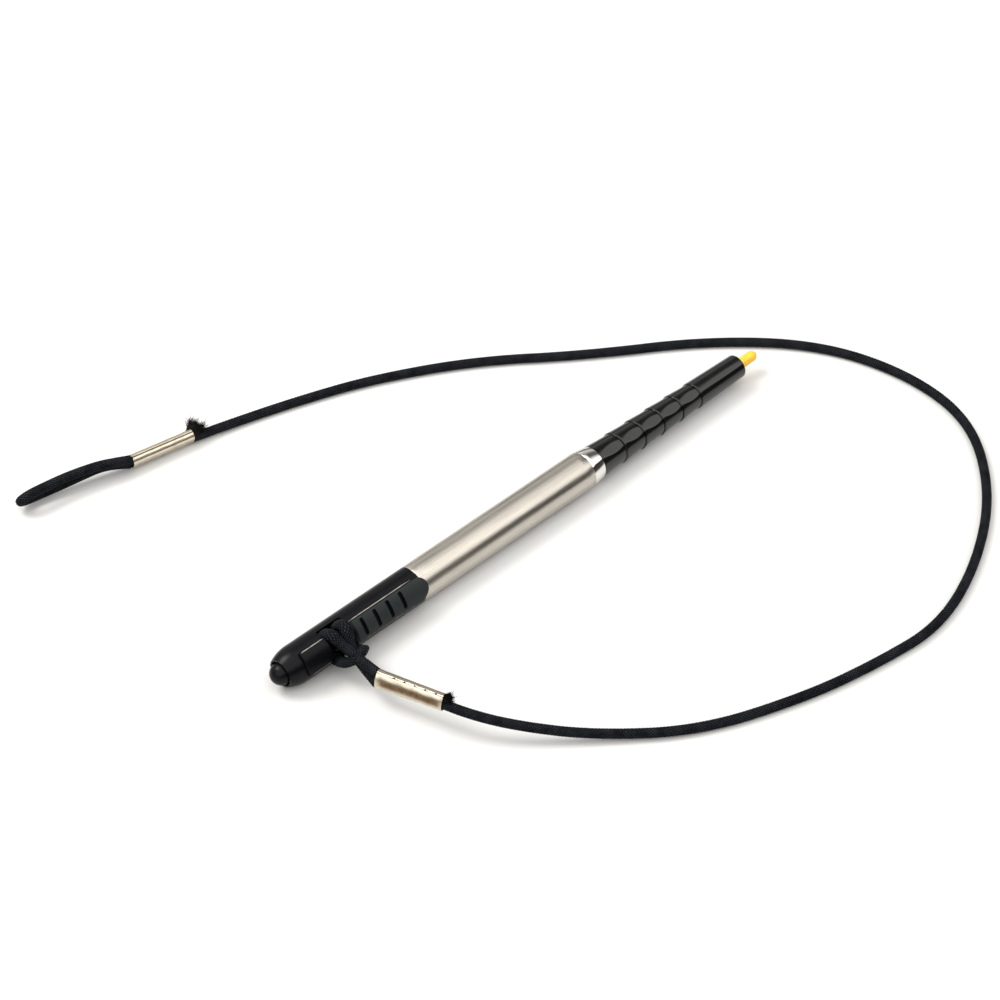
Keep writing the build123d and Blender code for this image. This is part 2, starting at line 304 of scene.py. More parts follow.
def wovenTube(name, points, stands, press=None):
    # a braided tube along the route, pressed wide and thin where it is wrapped round the pen
    line, s = evenly(readLine(name + "Line", points), braid["step"])
    tangents, sides, uppers = carryFrames(line)
    around = braid["around"]
    angle = np.linspace(0.0, 2 * math.pi, around, endpoint=False)[None, :]
    height = braidHeight(angle + 0 * s[:, None], s[:, None])
    radius = braid["diameter"] / 2 - braid["relief"] * (1 - height)
    offset = ((radius * np.cos(angle))[..., None] * sides[:, None, :]
              + (radius * np.sin(angle))[..., None] * uppers[:, None, :])
    if press:
        wide = along - tangents * tangents[:, :1]
        wide /= np.linalg.norm(wide, axis=1)[:, None]
        thin = np.cross(tangents, wide)
        amount = (softStep(0.75 - np.abs(tangents[:, 0]), 0.0, 0.4)
                  * softStep(s, press["from"], press["from"] + press["ease"])
                  * softStep(press["to"] - s, 0.0, press["ease"]))
        acrossWide = (offset * wide[:, None, :]).sum(-1) * (press["wide"] - 1) * amount[:, None]
        acrossThin = (offset * thin[:, None, :]).sum(-1) * (press["thin"] - 1) * amount[:, None]
        offset += acrossWide[..., None] * wide[:, None, :] + acrossThin[..., None] * thin[:, None, :]
    place = line[:, None, :] + offset
    rings = len(line)
    verts = np.concatenate([place.reshape(-1, 3), line[:1], line[-1:]])
    faces = ringFaces(rings, around)
    for j in range(around):
        after = (j + 1) % around
        faces.append([rings * around, after, j])
        faces.append([rings * around + 1, (rings - 1) * around + j, (rings - 1) * around + after])
    piece = addPiece(name, verts, faces, cordFinish, stands)
    # the crowns, sharpened, mark where the painted glints go
    paint(piece, "crown", [np.clip(height, 0, 1).ravel() ** braid["glintSharp"], [0.0, 0.0]])
    print(name, "length", round(float(s[-1]), 1), "mm")
    return piece, line, float(s[-1])


tetherRoute = [
    (-45.32, -26.17, 5.34), (-43.9, -30.2, 5.1), (-38.5, -37.6, 3.6), (-29.0, -47.0, 1.5),
    (-14.5, -58.8, 0.95), (5.0, -66.2, 0.95), (20.0, -69.5, 0.95), (35.0, -71.3, 0.95),
    (52.0, -65.6, 0.95), (68.5, -55.0, 0.95), (80.5, -40.0, 0.95), (82.0, -23.0, 0.95),
    (76.0, -5.0, 0.95), (61.0, 11.0, 0.95), (40.0, 25.0, 0.95), (23.5, 38.5, 0.95),
    (5.5, 48.4, 0.95), (-8.5, 53.6, 0.95), (-22.5, 57.8, 1.0), (-31.3, 59.6, 1.5),
]
hitchRoute = [onPen(*p) for p in [
    (13.05, 5.98, 12.39), (13.2, 3.7, 8.6), (13.4, 1.9, 5.4), (12.6, -0.5, 4.8), (12.0, -2.4, 4.6),
    (12.0, -2.4, 0.8), (12.05, 2.45, 0.8), (11.9, 3.6, 4.8), (12.5, 3.2, 7.5), (14.9, 2.5, 7.7),
    (16.1, 3.3, 4.8), (15.35, 2.45, 0.8), (15.25, -2.4, 0.8), (15.2, -2.4, 4.6), (14.9, -0.5, 4.7),
    (14.4, 2.3, 4.6), (13.6, 5.1, 7.1), (12.41, 7.58, 11.55),
]]
farLoopRoute = [
    (-44.37, 61.6, 2.92), (-47.1, 62.4, 3.55), (-50.1, 63.6, 3.9), (-54.05, 64.7, 4.05),
    (-58.1, 65.6, 4.05), (-61.8, 65.95, 4.2), (-64.8, 66.2, 4.35), (-67.0, 67.2, 2.9),
    (-64.9, 67.9, 1.5), (-61.6, 67.35, 1.5), (-57.9, 66.55, 1.6), (-53.8, 65.65, 1.9),
    (-49.8, 64.75, 2.2), (-46.7, 63.5, 1.9), (-44.23, 62.4, 1.18),
]
tether, tetherLine, tetherLength = wovenTube("tetherBraid", tetherRoute, ["tether_cord"])
hitchPress = {"from": 9.0, "to": 47.0, "ease": 4.0, "wide": 1.36, "thin": 0.88}
hitch, hitchLine, hitchLength = wovenTube("hitchBraid", hitchRoute, ["near_loop"], hitchPress)
farLoop, farLoopLine, farLoopLength = wovenTube("farLoopBraid", farLoopRoute, ["far_loop"])


# ferrules
def makeFerruleFinish():
    look = dict(metal=(0.66, 0.59, 0.475), worn=(0.42, 0.335, 0.225), darkReflection=(0.135, 0.080, 0.040),
                creaseShade=(0.02, 0.015, 0.012), tickPerMm=3.2)
    finish = Finish("ferruleMetal", {"Metallic": 1.0})
    fine = finish.grain(18.0, 4.0, 0.65)
    blotch = finish.grain(0.9, 3.0)
    pit = finish.add("ShaderNodeAttribute", {"attribute_name": "pit"}, out="Fac")
    burnish = finish.add("ShaderNodeAttribute", {"attribute_name": "burnish"}, out="Fac")
    bare = finish.shade(finish.ramp(blotch, 0.45, 0.75, 0.0, 0.55), look["metal"], look["worn"])
    streaks = finish.ramp(fine * 0.6 + blotch * 0.4, 0.25, 0.55, 0.62, 1.0)
    # painted reflection: a streaked dark band along one face stands in for dark surroundings mirrored in the
    # metal
    streaked = finish.shade(burnish * streaks, bare, look["darkReflection"])
    # painted shade: near-black colour in the seam, the crimp line and the bites
    finish.feed("Base Color", finish.shade(pit, streaked, look["creaseShade"]))
    finish.feed("Roughness", 0.14 + 0.18 * fine + 0.10 * blotch + 0.4 * pit)
    finish.bump(fine + 0.6 * finish.grain(look["tickPerMm"], 2.0), 0.012, 0.6)
    return finish


ferruleFinish = makeFerruleFinish()
ferrule = dict(length=13.2, wide=3.45, high=2.35, wall=0.22, taper=0.07, thinTaper=0.028, crown=0.86,
               lip=0.05, lipLen=0.3, edge=0.06, around=360, rings=200, innerRings=40, roundScale=0.42,
               ripple=0.015, seamStep=0.06, seamSoft=0.05, lineAt=0.90, lineWide=0.12, lineSink=0.04,
               biteCount=5, biteFirst=3.4, bitePitch=2.06, biteLong=0.6, biteDeep=0.34, biteSink=0.18,
               reflectionBandAt=2.35, reflectionBandWide=0.62)
# each one's mouth, axis and wide side, where its seam is round the edge, and how strong its marks, their
# painted shade and its painted dark reflection band are
ferrulePlaces = {
    "near": dict(mouth=(-49.57, -13.67, 5.3), axis=(0.331, -0.943, 0.023), wide=(0.35, 0.1, 0.93),
                 seamAt=0.34, lines=0.8, bites=1.0, burnish=1.0),
    "far": dict(mouth=(-44.3, 62.0, 2.05), axis=(0.985, -0.17, -0.01), wide=(-0.073, -0.421, 0.905),
                seamAt=-0.08, lines=1.0, bites=0.3, burnish=0.12),
}


def ferruleFrame(where):
    zAxis = np.array(where["axis"]) / np.linalg.norm(where["axis"])
    xAxis = np.array(where["wide"]) - zAxis * zAxis.dot(where["wide"])
    xAxis /= np.linalg.norm(xAxis)
    return np.array(where["mouth"]), xAxis, np.cross(zAxis, xAxis), zAxis


def ovalSection(t, wide, high):
    # points and outward directions round a flattened tube, its broad faces a little crowned
    a = 2 * math.pi * t
    xs = wide / 2 * np.sign(np.cos(a)) * np.abs(np.cos(a)) ** ferrule["crown"]
    ys = high / 2 * np.sign(np.sin(a)) * np.abs(np.sin(a)) ** ferrule["crown"]
    nx = np.gradient(np.concatenate([ys[-2:], ys, ys[:2]]))[2:-2]
    ny = -np.gradient(np.concatenate([xs[-2:], xs, xs[:2]]))[2:-2]
    size = np.hypot(nx, ny)
    return xs, ys, nx / size, ny / size


def makeFerrule(name, where, stands):
    f = ferrule
    origin, xAxis, yAxis, zAxis = ferruleFrame(where)
    t = np.linspace(0.0, 1.0, f["around"], endpoint=False)
    z = np.linspace(0.0, f["length"], f["rings"])
    xs, ys, nx, ny = ovalSection(t, f["wide"], f["high"])
    # millimetres round from the upper edge, onto the face that has the seam
    run = np.arccos(np.cos(2 * math.pi * t)) * f["wide"] * f["roundScale"] * np.sign(ys + 1e-9)
    seamAt, onSide = where["seamAt"], run > 0
    # a band of painted dark reflection along the face with the seam
    reflectionBandStrength = where["burnish"] * np.exp(-(np.abs(run - f["reflectionBandAt"]) / f["reflectionBandWide"]) ** 2.6)
    rings, creaseShadeMasks, reflectionBands = [], [], []

    def addRing(height, offset):
        narrow, thin = 1 - f["taper"] * height / f["length"], 1 - f["thinTaper"] * height / f["length"]
        x, y = (xs + nx * offset) * narrow, (ys + ny * offset) * thin
        rings.append(origin + x[:, None] * xAxis + y[:, None] * yAxis + height * zAxis)

    for height in z:
        fromEnd = f["length"] - height
        swell = f["lip"] * (np.exp(-(height / f["lipLen"]) ** 2) + np.exp(-(fromEnd / f["lipLen"]) ** 2))
        lift = np.full_like(xs, swell)
        wave = np.sin(height * 1.9 + 2.0 * np.cos(2 * math.pi * t))
        lift += f["ripple"] * wave * np.cos(2 * math.pi * t * 3)
        # one edge of the sheet laps over the other, with small bites nipped into it
        # the seam line, crimp line and bites below get painted shade as well as their dents
        pit = where["lines"] * np.exp(-((run - seamAt) / f["lineWide"]) ** 2)
        lap = softStep(seamAt - run, 0.0, f["seamSoft"]) * softStep(run + 1.6, 0.0, 0.6)
        lift += f["seamStep"] * lap
        line = where["lines"] * np.exp(-((run - f["lineAt"]) / f["lineWide"]) ** 2) * onSide
        lift -= f["lineSink"] * line
        pit = np.maximum(pit, line)
        for b in range(f["biteCount"]):
            near = height - (f["biteFirst"] + b * f["bitePitch"])
            reach = f["biteDeep"] * np.clip(1 - abs(near) / (f["biteLong"] / 2), 0.0, 1.0)
            foot = f["lineAt"] - 0.06
            inBite = softStep(run - foot + reach, 0.0, 0.05) * softStep(foot - run, -0.03, 0.02)
            bite = inBite * onSide * (reach > 0)
            lift -= f["biteSink"] * where["bites"] * bite
            pit = np.maximum(pit, where["bites"] * bite)
        inset = max(f["edge"] - min(height, fromEnd), 0.0)
        lift -= f["edge"] - math.sqrt(f["edge"] ** 2 - inset**2)
        addRing(height, lift)
        creaseShadeMasks.append(pit)
        reflectionBands.append(reflectionBandStrength * softStep(height, 0.0, 1.5) * softStep(fromEnd, -0.4, 1.2))
    for height in np.linspace(f["length"] - f["edge"] / 2, f["edge"] / 2, f["innerRings"]):
        addRing(height, -f["wall"])
        creaseShadeMasks.append(np.zeros_like(xs))
        reflectionBands.append(np.zeros_like(xs))
    faces = ringFaces(len(rings), f["around"], True)
    piece = addPiece(name, np.concatenate(rings), faces, ferruleFinish, stands, crease=50)
    paint(piece, "pit", creaseShadeMasks)
    paint(piece, "burnish", reflectionBands)
    return piece


nearFerrule = makeFerrule("nearFerruleShell", ferrulePlaces["near"], ["near_ferrule"])
farFerrule = makeFerrule("farFerruleShell", ferrulePlaces["far"], ["far_ferrule"])
print("ferrules made")


# frayed ends
def makeFrayFinish():
    look = dict(black=(0.0022, 0.0022, 0.003), pale=(0.08, 0.075, 0.07))
    finish = Finish("frayedThread", {"Specular IOR Level": 0.10})
    spots = finish.grain(2.2, 3.0, 0.6)
    finish.feed("Base Color", finish.shade(finish.ramp(spots, 0.66, 0.80), look["black"], look["pale"]))
    finish.feed("Roughness", 0.5 + 0.3 * spots)
    finish.bump(finish.grain(14.0, 3.0), 0.01, 0.5)
    return finish


frayFinish = makeFrayFinish()
tufts = {
    # core holds the stub's root radius, its top radius and its length
    "near": dict(off=(0.75, 0.1), lean=(0.75, 0.15, 0.8), core=(0.8, 0.85, 0.95), fibres=260,
                 long=(0.25, 0.8), thick=0.05, fan=0.7, seed=3),
    "far": dict(off=(0.1, -0.1), lean=(0.25, -0.9, 1.0), core=(1.1, 1.65, 2.0), fibres=680,
                long=(0.35, 1.05), thick=0.05, fan=0.8, seed=5),
}


def makeTuft(name, where, tuft, stands):
    # a lumpy stub of cord that turns aside past the ferrule, with loose threads at its cut end
    origin, xAxis, yAxis, zAxis = ferruleFrame(where)
    pick = random.Random(tuft["seed"])
    start = np.array([*tuft["off"], ferrule["length"] + 0.25])
    lean = np.array(tuft["lean"]) / np.linalg.norm(tuft["lean"])
    rootR, topR, length = tuft["core"]
    side = np.cross(lean, [1.0, 0.0, 0.0])
    side /= np.linalg.norm(side)
    other = np.cross(lean, side)
    verts, faces = [], []

    def toFrame(p):
        return origin + p[0] * xAxis + p[1] * yAxis + p[2] * zAxis

    def addRings(centres, radii, sides, lumps):
        first = len(verts)
        for k, (centre, r) in enumerate(zip(centres, radii)):
            for j in range(sides):
                a = 2 * math.pi * j / sides
                lump = 1 + lumps * (math.sin(3 * a + 1.7 * k) * 0.5 + math.sin(7 * a - 2.3 * k) * 0.5)
                verts.append(toFrame(centre + r * lump * (math.cos(a) * side + math.sin(a) * other)))
        faces.extend(ringFaces(len(centres), sides, first=first))
        faces.append([first + j for j in reversed(range(sides))])
        faces.append([first + (len(centres) - 1) * sides + j for j in range(sides)])

    steps = 16
    centres, radii = [], []
    for k in range(steps):
        u = k / (steps - 1)
        centres.append(start - np.array([0.0, 0.0, 0.6]) * (1 - u) ** 3 + lean * length * u)
        radii.append((rootR + (topR - rootR) * u ** 0.7) * (1.0 if u < 0.85 else 1.0 - 2.2 * (u - 0.85)))
    addRings(centres, radii, 36, 0.09)
    for _ in range(tuft["fibres"]):
        ring, turn = math.sqrt(pick.random()), pick.random() * 2 * math.pi
        low = pick.random() ** 2 * 0.7
        flat = math.cos(turn) * side + math.sin(turn) * other
        base = start + lean * length * (0.9 - low) + flat * ring * topR * 0.9
        stray = np.array([pick.gauss(0, 0.3) for _ in range(3)])
        aim = lean * (1 - 0.7 * low) + tuft["fan"] * flat * (ring + low) + stray
        curl = np.array([pick.gauss(0, 0.45) for _ in range(3)])
        threadLen = pick.uniform(*tuft["long"]) * (1 - 0.6 * low)
        us = [k / 5 for k in range(6)]
        addRings([base + aim * threadLen * u + curl * u * u * threadLen * 0.6 for u in us],
                 [tuft["thick"] * (1.3 - 0.8 * u) for u in us], 5, 0.0)
    return addPiece(name, verts, faces, frayFinish, stands)


nearTuft = makeTuft("nearFrayedEnd", ferrulePlaces["near"], tufts["near"], ["near_tail"])
farTuft = makeTuft("farFrayedEnd", ferrulePlaces["far"], tufts["far"], ["far_tail"])
print("frayed ends made")

for braided, exitPoint, length, line, farEnd, withPieces in [
    (tether, tetherRoute[0], tetherLength, tetherLine, "fitting", [farFerrule, farTuft, "far_crimp"]),
    (hitch, hitchRoute[0], hitchLength, hitchLine, "fitting", [nearFerrule, nearTuft, "near_crimp"]),
    (farLoop, farLoopRoute[0], farLoopLength, farLoopLine, "object", []),
]:
    length * mm
    (line[::4] * mm).tolist()


# turned pieces of the pen
def spokes(around):
    # angles round the pen from its rail, and the directions they point in
    angle = np.linspace(0.0, 2 * math.pi, around, endpoint=False)
    return angle, np.cos(angle)[:, None] * outward + np.sin(angle)[:, None] * across


def turned(name, profile, around, finish, stands):
    # a closed outline of (from the rear end, radius) turned about the pen's axis
    spoke = spokes(around)[1]
    rings = [onPen(s, 0.0, 0.0) + r * spoke for s, r in profile]
    faces = ringFaces(len(rings), around, True)
    addPiece(name, np.concatenate(rings), faces, finish, stands, crease=30)


def makeBarrelFinish():
    look = dict(metal=(0.60, 0.565, 0.51), shade=(0.44, 0.41, 0.365))
    finish = Finish("drawnSilver", {"Metallic": 1.0, "Anisotropic": 0.35})
    drawn = finish.grain(1.0, 3.0, 0.6, (0.14, 9.0, 9.0))
    fine = finish.grain(1.0, 2.0, 0.6, (0.5, 26.0, 26.0))
    speck = finish.grain(6.0, 3.0, 0.7)
    mottle = finish.ramp(drawn * 0.6 + speck * 0.4, 0.35, 0.7)
    finish.feed("Base Color", finish.shade(mottle, look["shade"], look["metal"]))
    finish.feed("Roughness", 0.20 + 0.12 * drawn + 0.08 * speck)
    finish.bump(drawn + 0.5 * fine, 0.01, 0.55)
    return finish


barrelShape = dict(start=33.5, end=77.0, radius=3.75, land=3.70, bore=3.35, landLen=1.1, ramp=0.6,
                   broken=0.1, softened=0.03, around=192)


def barrelProfile():
    # from the rear edge over the land and along the tube, round the front edge and back through the bore
    b = barrelShape
    start, end, land, radius = b["start"], b["end"], b["land"], b["radius"]
    rampStart = start + b["landLen"]
    first, last = rampStart + b["ramp"], end - b["broken"]
    profile = [(start, land - b["broken"]), (start + b["softened"], land - b["softened"])]
    profile += [(start + b["broken"], land), (rampStart, land)]
    profile += [(rampStart + b["ramp"] / 2, (land + radius) / 2)]
    profile += [(first + (last - first) * k / 30, radius) for k in range(31)]
    profile += [(end - b["softened"], radius - b["softened"]), (end, radius - b["broken"])]
    profile += [(end - (end - start) * k / 10, b["bore"]) for k in range(11)]
    return profile


turned("barrelShell", barrelProfile(), barrelShape["around"], makeBarrelFinish(),
       ["barrel_tube"])


def makeRingFinish():
    look = dict(bright=(0.80, 0.79, 0.77), streaked=(0.68, 0.66, 0.63))
    finish = Finish("polishedRing", {"Metallic": 1.0})
    rub = finish.grain(1.0, 2.0, 0.6, (16.0, 1.5, 1.5))
    finish.feed("Base Color", finish.shade(finish.ramp(rub, 0.3, 0.8), look["bright"], look["streaked"]))
    finish.feed("Roughness", 0.035 + 0.05 * rub)
    finish.bump(rub, 0.004, 0.3)
    return finish


ringShape = dict(start=77.0, end=80.0, rear=3.69, front=3.375, belly=0.09, lip=0.25, bore=2.8,
                 sleeve=3.32, sleeveLen=5.0, steps=24, around=192)


def ringProfile():
    # over the bellied outside from rear to front, then back through the bore and along the sleeve
    r = ringShape
    start, end, rear, front = r["start"], r["end"], r["rear"], r["front"]
    first, last, sleeveEnd = start + r["lip"], end - r["lip"] / 2, start - r["sleeveLen"]
    profile = [(start, rear - 0.1), (start + 0.05, rear - 0.04), (start + 0.12, rear - 0.01)]
    for k in range(r["steps"] + 1):
        u = k / r["steps"]
        profile.append((first + (last - first) * u, rear + (front - rear) * u + r["belly"] * 4 * u * (1 - u)))
    profile += [(end - 0.05, front - 0.03), (end, front - 0.1), (end, r["bore"])]
    profile += [(sleeveEnd, r["bore"]), (sleeveEnd, r["sleeve"]), (start, r["sleeve"])]
    return profile


turned("trimRingShell", ringProfile(), ringShape["around"], makeRingFinish(), ["trim_ring"])
print("barrel and ring turned")


# grip
def makeGripFinish():
    look = dict(black=(0.0020, 0.0024, 0.0030), dusty=(0.0035, 0.0042, 0.0045))
    finish = Finish("gripBlack", {"Specular IOR Level": 0.50})
    fine = finish.grain(9.0, 3.0, 0.6)
    broad = finish.grain(0.5, 3.0)
    dust = finish.ramp(broad * 0.6 + fine * 0.4, 0.35, 0.7)
    finish.feed("Base Color", finish.shade(dust, look["black"], look["dusty"]))
    finish.feed("Roughness", 0.08 + 0.06 * fine + 0.05 * broad)
    finish.bump(fine, 0.006, 0.3)
    return finish


gripShape = dict(start=80.0, rims=(86.0, 91.25, 96.5, 101.75, 107.0),
                 radii=(3.231, 3.104, 2.978, 2.851, 2.725), rear=3.375,
                 step=0.16, bow=12.0, end=119.5, nose=2.425, noseRound=0.35, noseRows=3,
                 hole=1.22, holeEdge=0.08, holeLen=7.5, chamber=1.97, spigot=2.77, spigotLen=9.0, around=192,
                 rows=16, leaf=0.17, noseLeaf=0.0425, leafTurn=-23.0, leafSoft=0.012, groove=0.12,
                 grooveWide=0.26, noseGap=0.13, rimLen=0.11,
                 rimRound=((0.0, 0.10), (0.012, 0.04), (0.045, 0.01)))


def makeGrip():
    g = gripShape
    angle, spoke = spokes(g["around"])
    bow = g["bow"]
    rings = []

    def bowAt(r):
        # how far a rim of this radius reaches forward at each angle, bowed like a fish scale
        height = r * np.abs(np.cos(angle))
        return math.sqrt(bow**2 - r**2) - np.sqrt(bow**2 - height**2)

    def addRing(s, r):
        s, r = np.broadcast_to(s, angle.shape), np.broadcast_to(r, angle.shape)
        rings.append(onPen(0.0, 0.0, 0.0) + s[:, None] * along + r[:, None] * spoke)

    def leafed(r, u, depth):
        # four flats round the grip, each widest in the middle of its segment
        fold = np.mod(angle - math.radians(g["leafTurn"]) + math.pi / 4, math.pi / 2) - math.pi / 4
        cut = (r - depth * max(math.sin(math.pi * u**1.45), 0.0) ** 0.7) / np.cos(fold)
        soft = g["leafSoft"]
        return 0.5 * (r + cut - np.sqrt((r - cut) ** 2 + soft**2)) + soft / 2

    starts = (g["start"],) + g["rims"]
    radii = (g["rear"],) + g["radii"]
    for i, (start, r) in enumerate(zip(starts, radii)):
        last = i == len(starts) - 1
        end = g["end"] - g["noseRound"] if last else starts[i + 1]
        endR = g["nose"] if last else radii[i + 1] - g["step"]
        bowStart = bowAt(r) if i else 0.0
        bowEnd = 0.0 if last else bowAt(radii[i + 1])
        if i:
            for ahead, below in g["rimRound"]:
                addRing(start + bowStart + ahead, r - below)
        rows = g["rows"] * (g["noseRows"] if last else 1)
        gap, depth = (g["noseGap"], g["noseLeaf"]) if last else (g["grooveWide"], g["leaf"])
        for k in range(rows + 1):
            u = k / rows
            s = start + bowStart + g["rimLen"] * (i > 0) + (end + bowEnd - start - bowStart - gap) * u
            addRing(s, leafed(r + (endR - r) * u, u, depth))
        if not last:
            addRing(s + 0.02, endR - g["groove"])
            addRing(s + g["grooveWide"] - 0.14, endR - g["groove"])
    for k in range(1, 9):
        a = math.pi / 2 * k / 8
        bevel = g["noseRound"]
        addRing(g["end"] - bevel * (1 - math.sin(a)), g["nose"] - bevel * (1 - math.cos(a)))
    # into the nib's hole, through the chamber and back over the spigot
    holeEnd, spigotEnd = g["end"] - g["holeLen"], g["start"] - g["spigotLen"]
    for s, r in [(g["end"], g["hole"] + g["holeEdge"]), (g["end"] - g["holeEdge"], g["hole"]),
                 (holeEnd, g["hole"]), (holeEnd, g["chamber"]), (spigotEnd, g["chamber"]),
                 (spigotEnd, g["spigot"]), (g["start"], g["spigot"]), (g["start"], g["rear"] - 0.06)]:
        addRing(s, r)
    faces = ringFaces(len(rings), g["around"], True)
    addPiece("gripShell", np.concatenate(rings), faces, makeGripFinish(), ["grip_body"],
             crease=35)


makeGrip()
print("grip made")


# fine bright beads along the rail's long sides, a painted highlight for the light caught on the rail's edges
railHighlightBeads = dict(side=2.215, out=3.62, radius=0.095, runs=((5.6, 10.7), (16.5, 31.6)), around=14, step=0.25)


def makeBeadHighlightFinish():
    look = dict(dull=(0.20, 0.185, 0.17), pale=(0.46, 0.43, 0.40))
    finish = Finish("railBeadPaintedHighlight", {"Specular IOR Level": 0.6})
    rub = finish.grain(1.0, 3.0, 0.6, (1.2, 6.0, 6.0))
    # pale base colour: painted highlight
    finish.feed("Base Color", finish.shade(finish.ramp(rub, 0.35, 0.7), look["dull"], look["pale"]))
    finish.feed("Roughness", 0.22 + 0.2 * rub)
    finish.bump(rub, 0.01, 0.4)
    return finish


def makeRailHighlightBeads():
    r = railHighlightBeads
    verts, faces = [], []
    turns = np.linspace(0.0, 2 * math.pi, r["around"], endpoint=False)
    for sign in (-1.0, 1.0):
        for start, end in r["runs"]:
            count = int((end - start) / r["step"])
            first = len(verts)
            for k in range(count + 1):
                u = k / count
                thick = r["radius"] * min(1.0, 0.2 + 8.0 * min(u, 1.0 - u))
                for a in turns:
                    side, out = sign * r["side"] + thick * math.sin(a), r["out"] + thick * math.cos(a)
                    verts.append(onPen(start + (end - start) * u, side, out))
            faces += [list(reversed(f)) for f in ringFaces(count + 1, r["around"], first=first)]
            faces.append([first + j for j in range(r["around"])])
            faces.append([first + count * r["around"] + j for j in reversed(range(r["around"]))])
    addPiece("railHighlightBeads", verts, faces, makeBeadHighlightFinish())


makeRailHighlightBeads()


# finishes of the pieces kept from the frame
def makeHeadFinish():
    look = dict(black=(0.0016, 0.0018, 0.0028), dusty=(0.0030, 0.0034, 0.0048), pad=(0.030, 0.036, 0.036))
    finish = Finish("headBlack", {"Specular IOR Level": 0.13})
    s, side, out = penPlace(finish)
    onRail = finish.ramp(out + side * side * 0.083, 4.26, 4.34) * finish.ramp(abs(side), 2.10, 2.0)
    onPad = onRail * finish.ramp(s, 16.9, 17.2)
    fine = finish.grain(7.0, 3.0, 0.6)
    hatch = finish.add("ShaderNodeMath", {"operation": "SINE"}, {0: s * 24.0 + 5.0 * fine}) * 0.5 + 0.5
    weave = 0.5 * hatch + 0.5 * finish.grain(1.0, 2.0, 0.6, (9.0, 5.0, 5.0))
    broad = finish.grain(0.35, 3.0)
    body = finish.shade(finish.ramp(broad * 0.5 + fine * 0.5, 0.35, 0.7), look["black"], look["dusty"])
    finish.feed("Base Color", finish.shade(onPad * (0.35 + 0.65 * weave), body, look["pad"]))
    edgeShine = finish.ramp(abs(side), 1.98, 2.08) * finish.ramp(out, 3.7, 3.9)
    finish.feed("Roughness", 0.22 + 0.10 * fine + 0.06 * broad + 0.12 * onPad - 0.14 * edgeShine)
    finish.bump(fine * 0.5 + onPad * weave * 1.4, 0.016, 0.6)
    return finish


def makeMoulded(name, dark, light, rough, perMm=8.0, depth=0.012, gloss=0.5):
    finish = Finish(name, {"Specular IOR Level": gloss})
    fine, broad = finish.grain(perMm, 3.0, 0.6), finish.grain(perMm / 12, 2.0)
    finish.feed("Base Color", finish.shade(finish.ramp(0.5 * fine + 0.5 * broad, 0.3, 0.7), dark, light))
    finish.feed("Roughness", rough + 0.10 * fine + 0.05 * broad)
    finish.bump(fine, depth, 0.4)
    return finish


def makeNibFinish():
    look = dict(deep=(0.86, 0.49, 0.035), light=(0.92, 0.56, 0.06), worn=(0.62, 0.36, 0.08))
    finish = Finish("nibYellow", {"Subsurface Weight": 0.15, "Subsurface Radius": (0.0012, 0.0007, 0.0002),
                                  "Subsurface Scale": 1.0})
    s = penPlace(finish)[0]
    smear, fine = finish.grain(0.8, 3.0), finish.grain(11.0, 2.0)
    worn = finish.ramp(s, 124.0, 124.55) * (0.3 + 0.5 * smear)
    clean = finish.shade(finish.ramp(smear, 0.3, 0.7), look["deep"], look["light"])
    finish.feed("Base Color", finish.shade(worn, clean, look["worn"]))
    finish.feed("Roughness", 0.26 + 0.12 * fine + 0.1 * worn)
    finish.bump(fine, 0.006, 0.3)
    return finish


def makeSteelFinish():
    finish = Finish("springSteel", {"Metallic": 1.0})
    drawn = finish.grain(10.0, 3.0, 0.6)
    finish.feed("Base Color", finish.shade(drawn, (0.52, 0.52, 0.53), (0.70, 0.70, 0.71)))
    finish.feed("Roughness", 0.2 + 0.2 * drawn)
    finish.bump(drawn, 0.006, 0.4)
    return finish


keptFinishes = {
    "head_body": makeHeadFinish(),
    "end_plug": makeMoulded("nubBlack", (0.002, 0.0022, 0.0026), (0.004, 0.0044, 0.005), 0.24, 6.0, 0.008,
                            0.13),
    "nib": makeNibFinish(),
    "nib_carrier": makeMoulded("carrierGrey", (0.20, 0.20, 0.21), (0.28, 0.28, 0.29), 0.38),
    "spring_plug": makeMoulded("plugGrey", (0.16, 0.16, 0.17), (0.24, 0.24, 0.25), 0.40),
    "nib_spring": makeSteelFinish(),
    "near_crimp": cordFinish,
    "far_crimp": cordFinish,
}
for node, finish in keptFinishes.items():
    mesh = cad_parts[node].data
    mesh.materials.clear()
    mesh.materials.append(finish.material)
print("finishes set")


# floor and light
def makeFloor():
    # a sheet that is white round the pen and greyer far from it; the grey is painted shade for the light
    # falling off away from the pen
    half = 1.6
    corners = [(-half, -half, 0), (half, -half, 0), (half, half, 0), (-half, half, 0)]
    mesh = bpy.data.meshes.new("studioFloor")
    mesh.from_pydata(corners, [], [(0, 1, 2, 3)])
    finish = Finish("floorWhite", {"Roughness": 0.7, "Specular IOR Level": 0.2})
    paper = finish.grain(0.02, 2.0)
    away = finish.add("ShaderNodeVectorMath", {"operation": "LENGTH"}, {0: finish.place}, out="Value")
    sheet = finish.shade(paper, (0.66, 0.66, 0.66), (0.68, 0.68, 0.68))
    # painted shade: the colour greys with distance from the pen
    finish.feed("Base Color", finish.shade(finish.ramp(away, 0.25, 0.70), sheet, (0.30, 0.295, 0.28)))
    mesh.materials.append(finish.material)
    floor = bpy.data.objects.new("studioFloor", mesh)
    scene.collection.objects.link(floor)


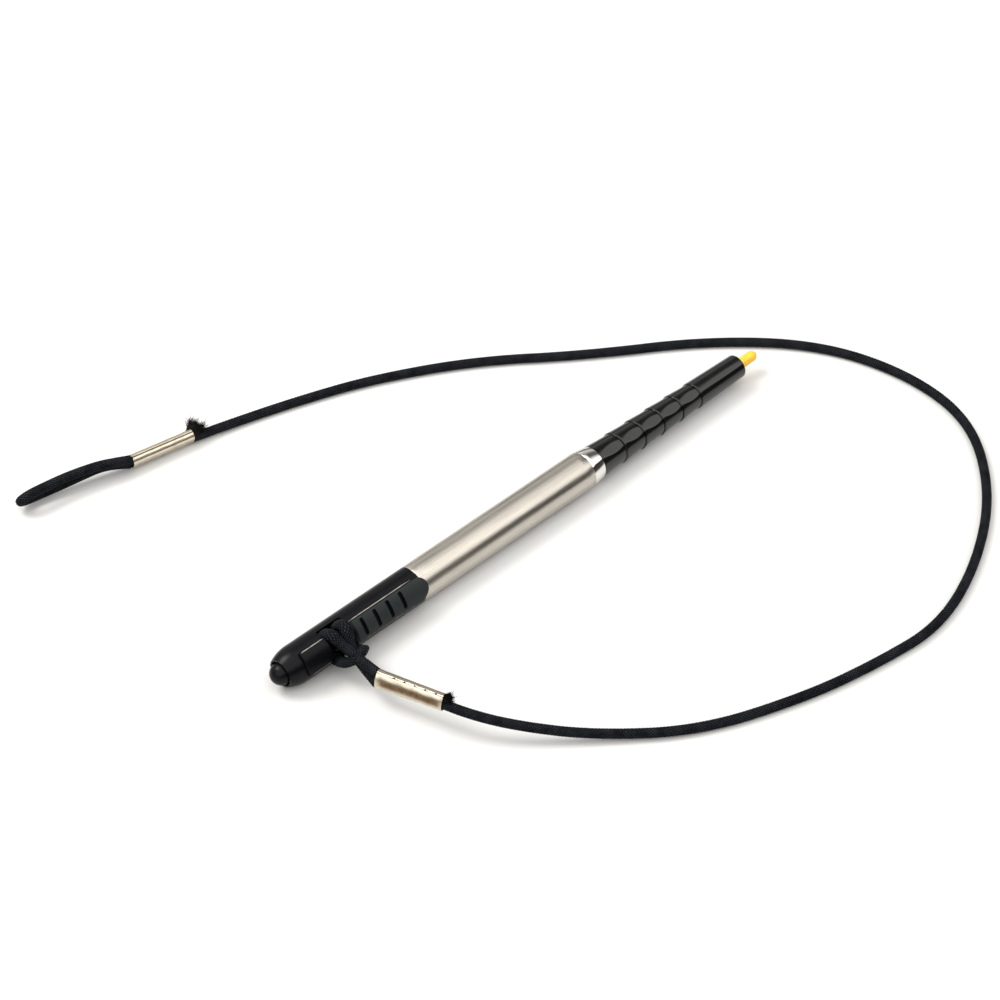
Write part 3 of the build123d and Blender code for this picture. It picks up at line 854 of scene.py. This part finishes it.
def makeLamp(name, place, aim, size, power, colour):
    light = bpy.data.lights.new(name, "AREA")
    light.shape, light.size, light.size_y = "RECTANGLE", size[0], size[1]
    light.energy, light.color = power, colour
    lamp = bpy.data.objects.new(name, light)
    lamp.location = place
    lamp.rotation_euler = (Vector(aim) - Vector(place)).to_track_quat("-Z", "Y").to_euler()
    scene.collection.objects.link(lamp)
    return lamp


def makeRoom():
    # light overhead, a dim wall behind and a dark horizon, with a darker gap overhead toward the nib's side
    world = bpy.data.worlds.new("studioRoom")
    scene.world = world
    world.use_nodes = True
    room = Nodes(world.node_tree)
    where = room.add("ShaderNodeTexCoord", out="Generated")
    sideY = room.add("ShaderNodeSeparateXYZ", None, {0: where}, out="Y")
    upZ = room.add("ShaderNodeSeparateXYZ", None, {0: where}, out="Z")
    tilt = room.add("ShaderNodeMath", {"operation": "ARCTAN2"}, {0: 0 - sideY, 1: upZ}) / math.pi + 0.5
    sideX = room.add("ShaderNodeSeparateXYZ", None, {0: where}, out="X")

    def bandOf(stops):
        warm = (1.0, 0.985, 0.957)
        coloured = [(at, tuple(c * level for c in warm)) for at, level in stops]
        return room.add("ShaderNodeValToRGB", {"stops": coloured}, {0: tilt})

    rearBand = bandOf([(0.0, 0.66), (0.14, 0.55), (0.24, 0.18), (0.29, 0.24), (0.36, 0.60), (0.43, 0.88),
                       (0.48, 1.0), (0.785, 1.0), (0.828, 0.015), (1.0, 0.015)])
    nibBand = bandOf([(0.0, 0.55), (0.14, 0.42), (0.24, 0.26), (0.33, 0.07), (0.46, 0.07), (0.56, 0.50),
                      (0.66, 1.05), (0.745, 1.15), (0.80, 0.015), (1.0, 0.015)])
    band = room.shade(room.ramp(sideX, 0.525, 0.565), rearBand, nibBand)
    colour = room.shade(room.ramp(upZ, 0.06, 0.42), (0.045, 0.040, 0.033), band)
    back = world.node_tree.nodes["Background"]
    world.node_tree.links.new(colour.socket, back.inputs["Color"])
    back.inputs["Strength"].default_value = 2.0


makeFloor()
makeRoom()
makeLamp("keySoftbox", (-0.25, 0.45, 0.75), (0.0, 0.0, 0.0), (0.40, 0.40), 5.5, (1.0, 0.985, 0.96))
scene.view_settings.view_transform = "Standard"
print("floor and light made")
